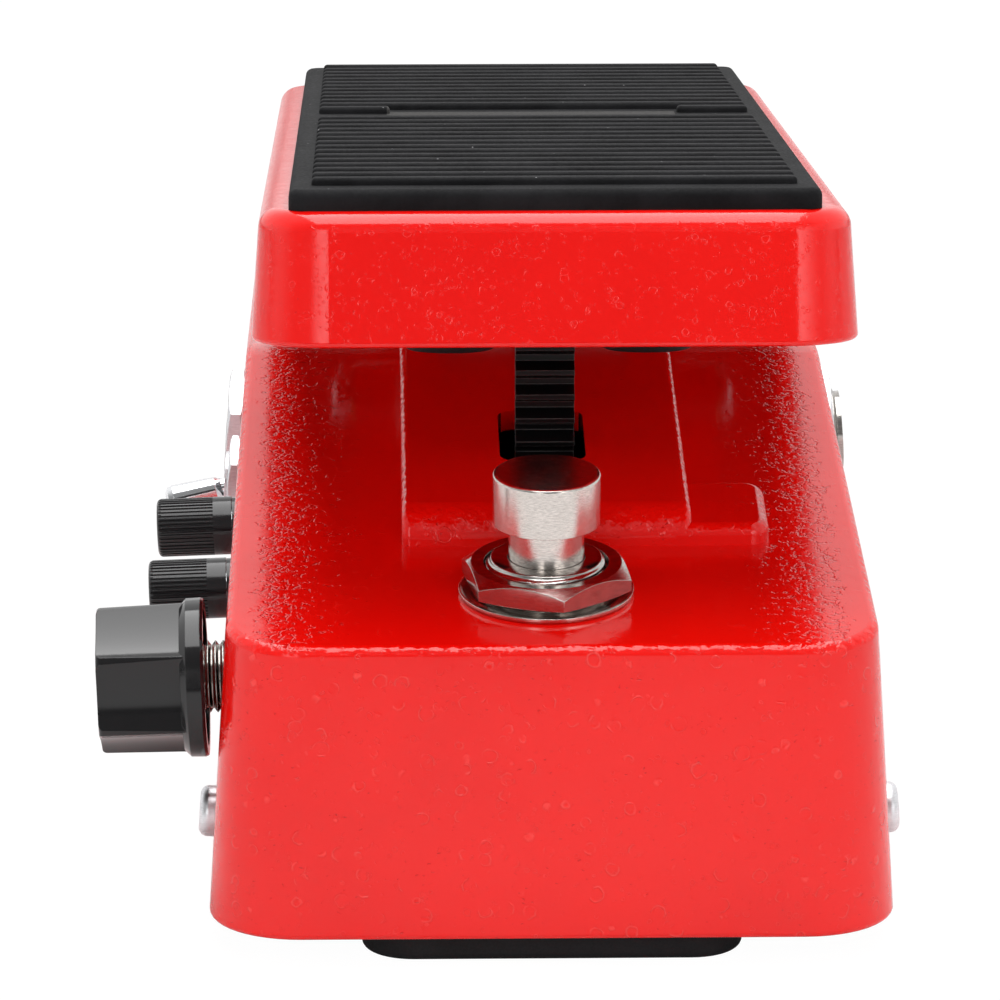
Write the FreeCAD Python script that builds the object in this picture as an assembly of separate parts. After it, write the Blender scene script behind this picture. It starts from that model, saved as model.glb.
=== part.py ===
import FreeCAD, Part
import math
import os
from FreeCAD import Placement, Rotation, Vector

# A mini rocker pedal for guitar: a die-cast case with a sloped top, a treadle that rocks on a
# cross pin, and a toothed sector under the treadle that turns a potentiometer through a pinion.
# Frame: millimetres, +Z up, +Y towards the heel, -Y towards the toe, origin on the ground under
# the middle of the case. The treadle is drawn with its toe raised a little above level.

# ---- driving dimensions ---------------------------------------------------------------------
CASE_LENGTH = 175.0
CASE_WIDTH = 66.3
CASE_CORNER = 9.0
CASE_BOTTOM = 3.0
CASE_WALL = 2.0
CASE_DRAFT = 3.7
RIDGE_HEIGHT = 41.0
ROOF_SLOPE = 6.29
ROOF_EDGE_ROUND = 1.0
RIDGE_ROUND = 25.0
FOOT_EDGE_ROUND = 0.6

SPINE_HALF_WIDTH = 14.3
SPINE_HALF_LENGTH = 59.3
SPINE_LIFT = 3.5
PAD_WIDTH = 7.7
PAD_LENGTH = 12.8
PAD_LIFT = 2.0
SPINE_END_ROUND = 3.1
SPINE_EDGE_ROUND = 0.8
PAD_CORNER_ROUND = 2.2
PAD_RIM_ROUND = 1.1
SLOT_HALF_WIDTH = 4.35
SLOT_TOE = -45.1
SLOT_HEEL = -30.3
SLOT_CORNER = 1.8

HINGE_HEIGHT = 48.0
HINGE_PIN_RADIUS = 2.5
HINGE_PIN_LENGTH = 43.0
EAR_INNER = 10.3
EAR_OUTER = 14.3
LUG_INNER = 15.0
LUG_OUTER = 19.4
LUG_RADIUS = 4.6
RUNNING_CLEARANCE = 0.04

TREADLE_TILT = -6.28
TREADLE_TOE = -83.1
TREADLE_HEEL = 75.8
TREADLE_HALF_WIDTH = 28.95
TREADLE_BOTTOM = 2.83
TREADLE_HEIGHT = 12.7
TREADLE_DRAFT = 4.0
TREADLE_CORNER = 7.5
TREADLE_TOP_ROUND = 2.0
TREADLE_LIP_ROUND = 0.5
TREADLE_WALL = 2.2
TREADLE_CEILING = 2.5
TREADLE_SIDE_SHIFT = 0.3

TREAD_HALF_WIDTH = 25.25
TREAD_TOE = -80.1
TREAD_HEEL = 72.8
TREAD_THICKNESS = 2.0
RIB_PITCH = 4.96
RIB_WIDTH = 2.4
RIB_HEIGHT = 0.7
RIB_INSET = 2.15
TOE_RIBS = 15
TOE_RIBS_START = -75.6
HEEL_RIBS = 13
HEEL_RIBS_START = 6.3
BLANK_HALF_WIDTH = 15.5

BUMPER_RADIUS = 4.6
BUMPER_X = 9.75
BUMPER_Y = 52.2
TOE_BUMPER_DROP = 3.75
HEEL_BUMPER_DROP = 2.2
STRIKER_BOTTOM = 9.3
STRIKER_Y = -72.5

GEAR_MODULE = 0.8
SECTOR_TEETH = 100
PINION_TEETH = 12
PRESSURE_ANGLE = 25.0
TOOTH_ADDENDUM = 0.8
TOOTH_DEDENDUM = 1.1
BACKLASH = 0.16
SECTOR_WIDTH = 6.0
SECTOR_INNER_RADIUS = 37.2
SECTOR_TOP_ANGLE = 10.0
SECTOR_LOW_ANGLE = -42.0
MESH_ANGLE = -29.4
SECTOR_SCREW_Y = (-46.0, -32.0)
SENSOR_WEB_X = 5.2
SENSOR_WEB_THICKNESS = 2.0

SWITCH_Y = -71.6
SWITCH_X = -0.4

VOLUME_HEIGHT = 24.4
SMALL_KNOB_HEIGHT = 24.7
CONTROL_DROOP = 2.0
VOLUME_Y = -70.0
TONE_Y = -38.5
LEVEL_Y = -13.5
TOGGLE_Y = 5.5
TOGGLE_HEIGHT = 25.1
TOGGLE_LEVER_ANGLE = 17.4
FLUTE_RADIUS = 14.0
FLUTE_DEPTH_RADIUS = 6.03
FLUTE_TURN = 31.0
JACK_Y = 27.5
JACK_HEIGHT = 24.5
SIDE_SCREW_Y = 69.5
SIDE_SCREW_HEIGHT = 10.5

BOARD_BOTTOM = 9.0
BOARD_THICKNESS = 1.6
BOARD_HALF_WIDTH = 26.0
BOARD_TOE = -54.0
BOARD_HEEL = 72.0
POST_X = 22.5
POST_TOE = -50.0
POST_HEEL = 66.0

BASE_THICKNESS = 1.5
MAT_HALF_WIDTH = 18.4
MAT_LENGTH = 169.4
MAT_CORNER = 5.0

X_AXIS = Vector(1, 0, 0)
Y_AXIS = Vector(0, 1, 0)
Z_AXIS = Vector(0, 0, 1)


# ---- shape helpers --------------------------------------------------------------------------
def box(x0, x1, y0, y1, z0, z1):
    return Part.makeBox(x1 - x0, y1 - y0, z1 - z0, Vector(x0, y0, z0))


def rod(radius, z0, z1):
    return Part.makeCylinder(radius, z1 - z0, Vector(0, 0, z0))


def ring(outer, inner, z0, z1):
    return rod(outer, z0, z1).cut(rod(inner, z0 - 1, z1 + 1))


def cross_rod(radius, x0, x1, y=0.0, z=0.0):
    return Part.makeCylinder(radius, x1 - x0, Vector(x0, y, z), X_AXIS)


def moved(shape, x=0.0, y=0.0, z=0.0):
    return put(shape, Placement(Vector(x, y, z), Rotation()))


def put(shape, placement):
    copy = shape.copy()
    copy.Placement = placement.multiply(shape.Placement)
    return copy


def union(shapes):
    return shapes[0].fuse(shapes[1:]).removeSplitter()


def rounded_outline(x_half, y0, y1, radius, z):
    """Closed wire: a rectangle centred in X, from y0 to y1, with rounded corners."""
    quarter = math.sqrt(0.5) * radius
    lines = []
    corners = ((x_half, y1, 1, 1), (-x_half, y1, -1, 1), (-x_half, y0, -1, -1), (x_half, y0, 1, -1))
    for x, y, sx, sy in corners:
        centre = Vector(x - sx * radius, y - sy * radius, z)
        on_side = centre + Vector(sx * radius, 0, 0)
        on_end = centre + Vector(0, sy * radius, 0)
        middle = centre + Vector(sx * quarter, sy * quarter, 0)
        ends = (on_side, on_end) if sx * sy > 0 else (on_end, on_side)
        lines.append(Part.Arc(ends[0], middle, ends[1]).toShape())
    edges = []
    for index, arc in enumerate(lines):
        following = lines[(index + 1) % len(lines)]
        edges.append(arc)
        edges.append(Part.makeLine(arc.Vertexes[-1].Point, following.Vertexes[0].Point))
    return Part.Wire(edges)


def rounded_slab(x_half, y0, y1, radius, z0, z1):
    face = Part.Face(rounded_outline(x_half, y0, y1, radius, z0))
    return face.extrude(Vector(0, 0, z1 - z0))


def tapered_block(x_half, y0, y1, radius, z0, z1, draft):
    """Rounded rectangle at z0 that narrows by the draft angle on every side up to z1."""
    shrink = (z1 - z0) * math.tan(math.radians(draft))
    low = rounded_outline(x_half, y0, y1, radius, z0)
    high = rounded_outline(x_half - shrink, y0 + shrink, y1 - shrink, radius - shrink, z1)
    return Part.makeLoft([low, high], True, True)


def side_profile(points, x0, x1):
    """Prism along X from a closed outline of (y, z) points."""
    outline = Part.makePolygon([Vector(x0, y, z) for y, z in points + points[:1]])
    return Part.Face(outline).extrude(Vector(x1 - x0, 0, 0))


def turned(points):
    """Solid of revolution about Z from a closed outline of (radius, z) points."""
    outline = Part.makePolygon([Vector(r, 0, z) for r, z in points + points[:1]])
    return Part.Face(outline).revolve(Vector(0, 0, 0), Z_AXIS, 360)


def threaded_rod(radius, pitch, z0, z1, bore=0.0):
    """Rod with a ridge every pitch, and an optional hole down its middle."""
    depth = 0.55 * pitch
    turns = int((z1 - z0) / pitch)
    points = [(bore, z0), (radius - depth, z0)]
    for turn in range(turns):
        start = z0 + turn * pitch
        points.append((radius - depth, start + 0.06 * pitch))
        points.append((radius, start + 0.44 * pitch))
        points.append((radius, start + 0.56 * pitch))
        points.append((radius - depth, start + 0.94 * pitch))
    points += [(radius - depth, z1), (bore, z1)]
    return turned(points)


def hex_nut(across_flats, bore, z0, z1, chamfer=0.3, turn=0.0, low_chamfer=0.3):
    corner = across_flats / math.sqrt(3)
    points = [Vector(corner, 0, z0)]
    for step in range(1, 7):
        angle = math.radians(60 * step)
        points.append(Vector(corner * math.cos(angle), corner * math.sin(angle), z0))
    prism = Part.Face(Part.makePolygon(points)).extrude(Vector(0, 0, z1 - z0))
    edge = across_flats / 2 - 0.2
    envelope = turned([(0, z0), (edge, z0), (corner + 0.1, z0 + low_chamfer),
                       (corner + 0.1, z1 - chamfer), (edge, z1), (0, z1)])
    nut = prism.common(envelope).cut(rod(bore, z0 - 1, z1 + 1))
    nut.rotate(Vector(0, 0, 0), Z_AXIS, turn)
    return nut


def pan_screw(head_radius, head_height, shank_radius, length):
    """Cross-recess screw along Z: the head stands above z = 0 and the shank hangs below."""
    head = rod(head_radius, 0, head_height)
    head = head.makeFillet(0.55 * head_height, [e for e in head.Edges if e.BoundBox.ZMin > 0.1])
    recess_depth = 0.6 * head_height
    arm = 0.55 * head_radius
    for turn in (0, 90):
        slot = box(-arm, arm, -0.25, 0.25, head_height - recess_depth, head_height + 1)
        slot.rotate(Vector(0, 0, 0), Z_AXIS, turn)
        head = head.cut(slot)
    return head.fuse(rod(shank_radius, -length, 0)).removeSplitter()


def roof_height(y, lift=0.0):
    slope = math.radians(ROOF_SLOPE)
    return RIDGE_HEIGHT + lift / math.cos(slope) - abs(y) * math.tan(slope)


def roof_prism(lift, y_half, x0, x1, floor=None):
    """Prism under the two roof slopes, raised by lift; with a floor it is a band that thick."""
    base = [(y_half, -10.0), (-y_half, -10.0)]
    if floor is not None:
        base = [(y_half, roof_height(y_half, floor)), (0.0, roof_height(0, floor)),
                (-y_half, roof_height(y_half, floor))]
    top = [(-y_half, roof_height(y_half, lift)), (0.0, roof_height(0, lift)),
           (y_half, roof_height(y_half, lift))]
    return side_profile(base + top, x0, x1)


def on_roof(x, y):
    """Frame whose Z is the normal of the toe slope at (x, y)."""
    return Placement(Vector(x, y, roof_height(y)), Rotation(X_AXIS, ROOF_SLOPE))


def wall_half_width(z):
    return CASE_WIDTH / 2 - (z - CASE_BOTTOM) * math.tan(math.radians(CASE_DRAFT))


def on_side(side, y, z, droop):
    """Frame on a long side of the case whose Z points outward, tipped down by droop degrees."""
    position = Vector(side * wall_half_width(z), y, z)
    return Placement(position, Rotation(Y_AXIS, side * (90 + droop)))


def on_heel(z):
    inset = (z - CASE_BOTTOM) * math.tan(math.radians(CASE_DRAFT))
    return Placement(Vector(0, CASE_LENGTH / 2 - inset, z), Rotation(X_AXIS, -90))


FOOTSWITCH = on_roof(SWITCH_X, SWITCH_Y)
VOLUME = on_side(-1, VOLUME_Y, VOLUME_HEIGHT, CONTROL_DROOP)
TONE = on_side(-1, TONE_Y, SMALL_KNOB_HEIGHT, CONTROL_DROOP)
LEVEL = on_side(-1, LEVEL_Y, SMALL_KNOB_HEIGHT, CONTROL_DROOP)
TOGGLE = on_side(-1, TOGGLE_Y, TOGGLE_HEIGHT, -CASE_DRAFT)
OUTPUT_JACK = on_side(-1, JACK_Y, JACK_HEIGHT, -CASE_DRAFT)
INPUT_JACK = on_side(1, JACK_Y, JACK_HEIGHT, -CASE_DRAFT)
POWER_JACK = on_heel(20.0)
SIDE_SCREWS = [on_side(side, y, SIDE_SCREW_HEIGHT, -CASE_DRAFT)
               for side in (-1, 1) for y in (-SIDE_SCREW_Y, SIDE_SCREW_Y)]
TREADLE = Placement(Vector(TREADLE_SIDE_SHIFT, 0, HINGE_HEIGHT), Rotation(X_AXIS, TREADLE_TILT))

SECTOR_RADIUS = GEAR_MODULE * SECTOR_TEETH / 2
PINION_RADIUS = GEAR_MODULE * PINION_TEETH / 2
PINION_Y = -(SECTOR_RADIUS + PINION_RADIUS) * math.cos(math.radians(MESH_ANGLE))
PINION_Z = HINGE_HEIGHT + (SECTOR_RADIUS + PINION_RADIUS) * math.sin(math.radians(MESH_ANGLE))
CLIP_X = LUG_OUTER + 1.1
SECTOR_FOOT_TOP = TREADLE_BOTTOM + TREADLE_HEIGHT - TREADLE_CEILING - 0.01
BOARD_TOP = BOARD_BOTTOM + BOARD_THICKNESS
BOARD_POSTS = [(x, y) for x in (-POST_X, POST_X) for y in (POST_TOE, POST_HEEL)]


def middle_of(edge):
    return edge.valueAt(0.5 * (edge.FirstParameter + edge.LastParameter))


def edges_where(shape, test):
    return [edge for edge in shape.Edges if test(middle_of(edge))]


# ---- case -----------------------------------------------------------------------------------
def case_block():
    half = CASE_LENGTH / 2
    block = tapered_block(CASE_WIDTH / 2, -half, half, CASE_CORNER, CASE_BOTTOM, 46.0, CASE_DRAFT)
    roof = roof_prism(0, half + 5, -50, 50)
    ridge = edges_where(roof, lambda p: abs(p.y) < 0.1 and p.z > 40)
    block = block.common(roof.makeFillet(RIDGE_ROUND, ridge))
    rim = edges_where(block, lambda p: p.z > 30 and abs(p.z - roof_height(p.y)) < 0.6
                      and (abs(p.x) > 20 or abs(p.y) > 80))
    block = block.makeFillet(ROOF_EDGE_ROUND, rim)
    foot = edges_where(block, lambda p: abs(p.z - CASE_BOTTOM) < 0.01)
    return block.makeFillet(FOOT_EDGE_ROUND, foot)


def case_hollow():
    half = CASE_LENGTH / 2 - CASE_WALL
    block = tapered_block(CASE_WIDTH / 2 - CASE_WALL, -half, half, CASE_CORNER - CASE_WALL,
                          CASE_BOTTOM - 0.01, 46.0, CASE_DRAFT)
    return block.common(roof_prism(-CASE_WALL, CASE_LENGTH, -50, 50))


def rounded_step(shape, lift, corner, edge, is_corner, is_rim):
    """Rounds the upright corners of a raised step, then the rim of its top face."""
    shape = shape.makeFillet(corner, edges_where(shape, is_corner))
    rim = edges_where(shape, lambda p: p.z > roof_height(p.y, lift) - 0.3 and is_rim(p))
    return shape.makeFillet(edge, rim)


def spine():
    """Raised middle of the roof, with the small pad beside it at the toe end."""
    x_half = SPINE_HALF_WIDTH
    y_half = SPINE_HALF_LENGTH
    raised = roof_prism(SPINE_LIFT, y_half, -x_half, x_half, -1.0)
    end_rims = edges_where(raised, lambda p: abs(abs(p.y) - y_half) < 0.01 and abs(p.x) < 0.01
                           and p.z > roof_height(p.y))
    raised = raised.makeFillet(SPINE_END_ROUND, end_rims)
    side_edges = edges_where(raised, lambda p: abs(abs(p.x) - x_half) < 0.01
                             and p.z > roof_height(p.y, -0.9) + 0.01)
    raised = raised.makeFillet(SPINE_EDGE_ROUND, side_edges)
    outer = x_half + PAD_WIDTH
    pad_middle = PAD_LENGTH / 2 - y_half
    pad = roof_prism(PAD_LIFT, y_half, x_half - 1.5, outer, -1.0)
    pad = pad.common(box(-50, 50, -y_half, PAD_LENGTH - y_half, 0, 60))
    pad = rounded_step(pad, PAD_LIFT, PAD_CORNER_ROUND, PAD_RIM_ROUND,
                       lambda p: abs(p.x - outer) < 0.01
                       and abs(abs(p.y - pad_middle) - PAD_LENGTH / 2) < 0.01,
                       lambda p: p.x > x_half)
    return union([raised, pad])


def spine_hollow():
    x_half = SPINE_HALF_WIDTH - CASE_WALL
    y_half = SPINE_HALF_LENGTH - CASE_WALL
    hollow = roof_prism(SPINE_LIFT - CASE_WALL, y_half, -x_half, x_half, -CASE_WALL - 0.5)
    pad = roof_prism(PAD_LIFT - CASE_WALL, y_half, 0, x_half + PAD_WIDTH, -CASE_WALL - 0.5)
    pad_heel = PAD_LENGTH - SPINE_HALF_LENGTH - CASE_WALL
    return hollow.fuse(pad.common(box(0, 50, -y_half, pad_heel, 0, 60)))


def rocker_slot():
    return rounded_slab(SLOT_HALF_WIDTH, SLOT_TOE, SLOT_HEEL, SLOT_CORNER, 25, 60)


def hinge_ears():
    ears = []
    for side in (-1, 1):
        x0, x1 = sorted((side * EAR_INNER, side * EAR_OUTER))
        block = box(x0, x1, -LUG_RADIUS, LUG_RADIUS, RIDGE_HEIGHT + 1.0, HINGE_HEIGHT)
        ears.append(block.fuse(cross_rod(LUG_RADIUS, x0, x1, 0, HINGE_HEIGHT)))
    return ears


def board_posts():
    return [moved(rod(2.8, BOARD_TOP, roof_height(y) - 0.5 * CASE_WALL), x, y) for x, y in BOARD_POSTS]


def sensor_web():
    """Cast wall inside the case that carries the rocker potentiometer."""
    top = roof_height(PINION_Y, SPINE_LIFT) - 0.5 * CASE_WALL
    return box(SENSOR_WEB_X, SENSOR_WEB_X + SENSOR_WEB_THICKNESS, PINION_Y - 7.5, PINION_Y + 7.5,
               PINION_Z - 8.0, top)


def case_openings():
    openings = [rocker_slot()]
    openings.append(put(rod(6.1, -8, 5), FOOTSWITCH))
    openings.append(put(rod(3.65, -5, 3), VOLUME))
    openings.append(put(rod(3.4, -5, 3), TONE))
    openings.append(put(rod(3.4, -5, 3), LEVEL))
    openings.append(put(rod(3.05, -5, 3), TOGGLE))
    openings.append(put(rod(5.0, -5, 3), OUTPUT_JACK))
    openings.append(put(rod(5.0, -5, 3), INPUT_JACK))
    openings.append(put(rod(4.6, -5, 3), POWER_JACK))
    openings += [put(rod(1.6, -5, 3), frame) for frame in SIDE_SCREWS]
    openings.append(cross_rod(HINGE_PIN_RADIUS + 0.01, -30, 30, 0, HINGE_HEIGHT))
    openings.append(cross_rod(3.55, SENSOR_WEB_X - 2, SENSOR_WEB_X + 6, PINION_Y, PINION_Z))
    openings += [moved(rod(1.25, BOARD_BOTTOM, BOARD_BOTTOM + 10), x, y) for x, y in BOARD_POSTS]
    return openings


def case():
    body = union([case_block(), spine()])
    body = body.cut(case_hollow()).cut(spine_hollow())
    body = union([body, sensor_web()] + hinge_ears() + board_posts())
    return body.cut(case_openings())


# ---- base -----------------------------------------------------------------------------------
def base_plate():
    half = CASE_LENGTH / 2 - CASE_WALL - 0.25
    x_half = CASE_WIDTH / 2 - CASE_WALL - 0.25
    parts = [rounded_slab(x_half, -half, half, CASE_CORNER - CASE_WALL,
                          CASE_BOTTOM, CASE_BOTTOM + BASE_THICKNESS)]
    tab_floor = -CASE_WALL - 0.15 - BASE_THICKNESS
    for side in (-1, 1):
        for y in (-SIDE_SCREW_Y, SIDE_SCREW_Y):
            tab = Part.makeBox(14.0, 12.0, BASE_THICKNESS, Vector(-7.6, -6.0, tab_floor))
            tab = put(tab, on_side(side, y, SIDE_SCREW_HEIGHT, -CASE_DRAFT))
            parts.append(tab.common(box(-50, 50, -100, 100, CASE_BOTTOM, 40)))
    plate = union(parts)
    return plate.cut([put(rod(1.25, -8, 0), frame) for frame in SIDE_SCREWS])


def base_mat():
    half = MAT_LENGTH / 2
    mat = rounded_slab(MAT_HALF_WIDTH, -half, half, MAT_CORNER, 0, CASE_BOTTOM)
    return mat.makeFillet(0.8, edges_where(mat, lambda p: p.z < 0.01))


def side_screws():
    screw = pan_screw(2.5, 1.55, 1.2, 5.0)
    return Part.makeCompound([put(moved(screw, z=0.02), frame) for frame in SIDE_SCREWS])


# ---- treadle --------------------------------------------------------------------------------
def treadle_shell():
    top = TREADLE_BOTTOM + TREADLE_HEIGHT
    outer = tapered_block(TREADLE_HALF_WIDTH, TREADLE_TOE, TREADLE_HEEL, TREADLE_CORNER,
                          TREADLE_BOTTOM, top, TREADLE_DRAFT)
    outer = outer.makeFillet(TREADLE_TOP_ROUND, edges_where(outer, lambda p: p.z > top - 0.01))
    lip = edges_where(outer, lambda p: p.z < TREADLE_BOTTOM + 0.01)
    outer = outer.makeFillet(TREADLE_LIP_ROUND, lip)
    inner = tapered_block(TREADLE_HALF_WIDTH - TREADLE_WALL, TREADLE_TOE + TREADLE_WALL,
                          TREADLE_HEEL - TREADLE_WALL, TREADLE_CORNER - TREADLE_WALL,
                          TREADLE_BOTTOM - 0.01, top - TREADLE_CEILING, TREADLE_DRAFT)
    return outer.cut(inner)


def treadle():
    top = TREADLE_BOTTOM + TREADLE_HEIGHT - 0.5 * TREADLE_CEILING
    parts = [treadle_shell()]
    for side in (-1, 1):
        x0, x1 = sorted((side * LUG_INNER, side * LUG_OUTER))
        parts.append(box(x0, x1, -LUG_RADIUS, LUG_RADIUS, 0, top).fuse(cross_rod(LUG_RADIUS, x0, x1)))
        for y in (-BUMPER_Y, BUMPER_Y):
            parts.append(moved(rod(BUMPER_RADIUS, TREADLE_BOTTOM, top), side * BUMPER_X, y))
        rib_x = side * (LUG_INNER + 0.8)
        parts.append(box(rib_x - 0.9, rib_x + 0.9, -BUMPER_Y, BUMPER_Y, TREADLE_BOTTOM + 4.0, top))
    parts.append(moved(rod(6.0, STRIKER_BOTTOM, top), 0, STRIKER_Y))
    body = union(parts)
    holes = [cross_rod(HINGE_PIN_RADIUS + 1.0, -30, 30)]
    for side in (-1, 1):
        for y in (-BUMPER_Y, BUMPER_Y):
            holes.append(moved(rod(2.05, TREADLE_BOTTOM - 1, TREADLE_BOTTOM + 5), side * BUMPER_X, y))
    holes += [moved(rod(1.0, SECTOR_FOOT_TOP - 1, SECTOR_FOOT_TOP + 2.0), y=y) for y in SECTOR_SCREW_Y]
    return put(body.cut(holes), TREADLE)


def tread_rubber():
    base = TREADLE_BOTTOM + TREADLE_HEIGHT
    top = base + TREAD_THICKNESS
    sheet = rounded_slab(TREAD_HALF_WIDTH, TREAD_TOE, TREAD_HEEL, 1.8, base, top)
    sheet = sheet.makeFillet(0.8, edges_where(sheet, lambda p: p.z > top - 0.01))
    starts = [TOE_RIBS_START + RIB_PITCH * index for index in range(TOE_RIBS)]
    starts += [HEEL_RIBS_START + RIB_PITCH * index for index in range(HEEL_RIBS)]
    x_half = TREAD_HALF_WIDTH - RIB_INSET
    ribs = []
    for start in starts:
        end = start + RIB_WIDTH
        rib = side_profile([(start, top - 0.3), (start, top + RIB_HEIGHT - 0.15),
                            (start + 0.15, top + RIB_HEIGHT), (end - 0.15, top + RIB_HEIGHT),
                            (end, top + RIB_HEIGHT - 0.15), (end, top - 0.3)], -x_half, x_half)
        if start == HEEL_RIBS_START:
            rib = rib.cut(rounded_slab(BLANK_HALF_WIDTH, start - 3, start + 4, 2.0, top - 0.01, top + 5))
        ribs.append(rib)
    return put(union([sheet] + ribs), TREADLE)


def bumpers(y, drop):
    disc = rod(BUMPER_RADIUS, TREADLE_BOTTOM - drop, TREADLE_BOTTOM - 0.01)
    disc = disc.makeFillet(0.6, edges_where(disc, lambda p: p.z < TREADLE_BOTTOM - drop + 0.01))
    bumper = disc.fuse(rod(2.0, TREADLE_BOTTOM - 0.5, TREADLE_BOTTOM + 4.8)).removeSplitter()
    placed = [put(moved(bumper, side * BUMPER_X, y), TREADLE) for side in (-1, 1)]
    return Part.makeCompound(placed)


def hinge_pin():
    half = HINGE_PIN_LENGTH / 2
    pin = cross_rod(HINGE_PIN_RADIUS, -half, half, 0, HINGE_HEIGHT)
    pin = pin.makeChamfer(0.4, [edge for edge in pin.Edges if edge.BoundBox.XLength < 0.01])
    for side in (-1, 1):
        middle = side * CLIP_X
        groove = cross_rod(4, middle - 0.35, middle + 0.35, 0, HINGE_HEIGHT)
        pin = pin.cut(groove.cut(cross_rod(2.0, middle - 1, middle + 1, 0, HINGE_HEIGHT)))
    return pin


def hinge_bushings():
    bushings = []
    for side in (-1, 1):
        x0, x1 = sorted((side * LUG_INNER, side * LUG_OUTER))
        sleeve = cross_rod(HINGE_PIN_RADIUS + 0.99, x0, x1, 0, HINGE_HEIGHT)
        flange_x = sorted((side * LUG_OUTER, side * (LUG_OUTER + 0.35)))
        flange = cross_rod(4.2, flange_x[0], flange_x[1], 0, HINGE_HEIGHT)
        bore = cross_rod(HINGE_PIN_RADIUS + RUNNING_CLEARANCE, -30, 30, 0, HINGE_HEIGHT)
        bushings.append(moved(sleeve.fuse(flange).cut(bore).removeSplitter(), TREADLE_SIDE_SHIFT))
    return Part.makeCompound(bushings)


def retaining_rings():
    rings = []
    for side in (-1, 1):
        middle = side * CLIP_X
        clip = cross_rod(4.4, middle - 0.3, middle + 0.3, 0, HINGE_HEIGHT)
        clip = clip.cut(cross_rod(2.02, middle - 1, middle + 1, 0, HINGE_HEIGHT))
        rings.append(clip.cut(box(-30, 30, -1.4, 1.4, HINGE_HEIGHT - 6, HINGE_HEIGHT)))
    return Part.makeCompound(rings)


def friction_washers():
    washers = []
    for side in (-1, 1):
        outer_face = LUG_INNER - TREADLE_SIDE_SHIFT - 0.05
        x0, x1 = sorted((side * (EAR_OUTER + 0.03), side * outer_face))
        washer = cross_rod(4.5, x0, x1, 0, HINGE_HEIGHT)
        washers.append(washer.cut(cross_rod(HINGE_PIN_RADIUS + 0.05, -30, 30, 0, HINGE_HEIGHT)))
    return Part.makeCompound(washers)


# ---- sector and pinion ----------------------------------------------------------------------
def involute_tooth(teeth, outward_angle):
    """Outline of one tooth about a wheel centre: a list of (y, z) points from root to root."""
    pitch_radius = GEAR_MODULE * teeth / 2
    base_radius = pitch_radius * math.cos(math.radians(PRESSURE_ANGLE))
    root_radius = pitch_radius - TOOTH_DEDENDUM * GEAR_MODULE
    tip_radius = pitch_radius + TOOTH_ADDENDUM * GEAR_MODULE
    half_at_pitch = (math.pi * GEAR_MODULE / 2 - BACKLASH) / 2 / pitch_radius
    pressure = math.radians(PRESSURE_ANGLE)
    flank = [(root_radius, half_at_pitch + math.tan(pressure) - pressure)]
    start = max(root_radius, base_radius)
    steps = 5
    for step in range(steps + 1):
        radius = start + (tip_radius - start) * step / steps
        roll = math.acos(min(1.0, base_radius / radius))
        flank.append((radius, half_at_pitch + math.tan(pressure) - pressure - math.tan(roll) + roll))
    if root_radius >= base_radius:
        flank = flank[1:]
    outline = [(r, -a) for r, a in flank] + [(r, a) for r, a in reversed(flank)]
    points = []
    for radius, angle in outline:
        direction = math.radians(outward_angle) + angle
        points.append((-radius * math.cos(direction), radius * math.sin(direction)))
    return points


def sector():
    """Toothed arc about the hinge with an arm up to a foot that is screwed inside the treadle."""
    root = SECTOR_RADIUS - TOOTH_DEDENDUM * GEAR_MODULE
    step = 360.0 / SECTOR_TEETH
    count_up = int((SECTOR_TOP_ANGLE - MESH_ANGLE) / step)
    count_down = int((MESH_ANGLE - SECTOR_LOW_ANGLE) / step)
    outline = []
    for index in range(-count_down, count_up + 1):
        outline += involute_tooth(SECTOR_TEETH, MESH_ANGLE + index * step)
    low = math.radians(MESH_ANGLE - (count_down + 0.5) * step)
    high = math.radians(MESH_ANGLE + (count_up + 0.5) * step)
    inner = []
    arc_steps = 12
    for index in range(arc_steps + 1):
        angle = high + (low - high) * index / arc_steps
        inner.append((-SECTOR_INNER_RADIUS * math.cos(angle), SECTOR_INNER_RADIUS * math.sin(angle)))
    outline = [(-root * math.cos(low), root * math.sin(low))] + outline
    outline += [(-root * math.cos(high), root * math.sin(high))] + inner
    half = SECTOR_WIDTH / 2
    teeth = moved(side_profile(outline, -half, half), TREADLE_SIDE_SHIFT, 0, HINGE_HEIGHT)
    arm = box(-half, half, -root + 0.1, -SECTOR_INNER_RADIUS - 0.05, 0.6, SECTOR_FOOT_TOP)
    foot = box(-half, half, SECTOR_SCREW_Y[0] - 2.6, SECTOR_SCREW_Y[1] + 2.6,
               SECTOR_FOOT_TOP - 2.2, SECTOR_FOOT_TOP)
    upper = put(union([arm, foot]), TREADLE)
    upper = upper.cut([put(moved(rod(1.15, 0, 30), 0, y), TREADLE) for y in SECTOR_SCREW_Y])
    return union([teeth, upper])


def sector_screws():
    screw = pan_screw(1.9, 1.2, 0.95, 3.6)
    screw.rotate(Vector(0, 0, 0), X_AXIS, 180)
    screws = [put(moved(screw, 0, y, SECTOR_FOOT_TOP - 2.22), TREADLE) for y in SECTOR_SCREW_Y]
    return Part.makeCompound(screws)


def pinion():
    outline = []
    facing = 180.0 + MESH_ANGLE
    step = 360.0 / PINION_TEETH
    for index in range(PINION_TEETH):
        outline += involute_tooth(PINION_TEETH, facing + (index + 0.5) * step)
    wheel = side_profile(outline, -SECTOR_WIDTH / 2 - 0.3, SECTOR_WIDTH / 2 + 0.1)
    wheel = wheel.cut(cross_rod(2.01, -10, 10))
    return moved(wheel, 0, PINION_Y, PINION_Z)


def sensor_shaft():
    shaft = cross_rod(2.0, -SECTOR_WIDTH / 2 - 0.3, 14.0)
    return moved(shaft, 0, PINION_Y, PINION_Z)


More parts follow.
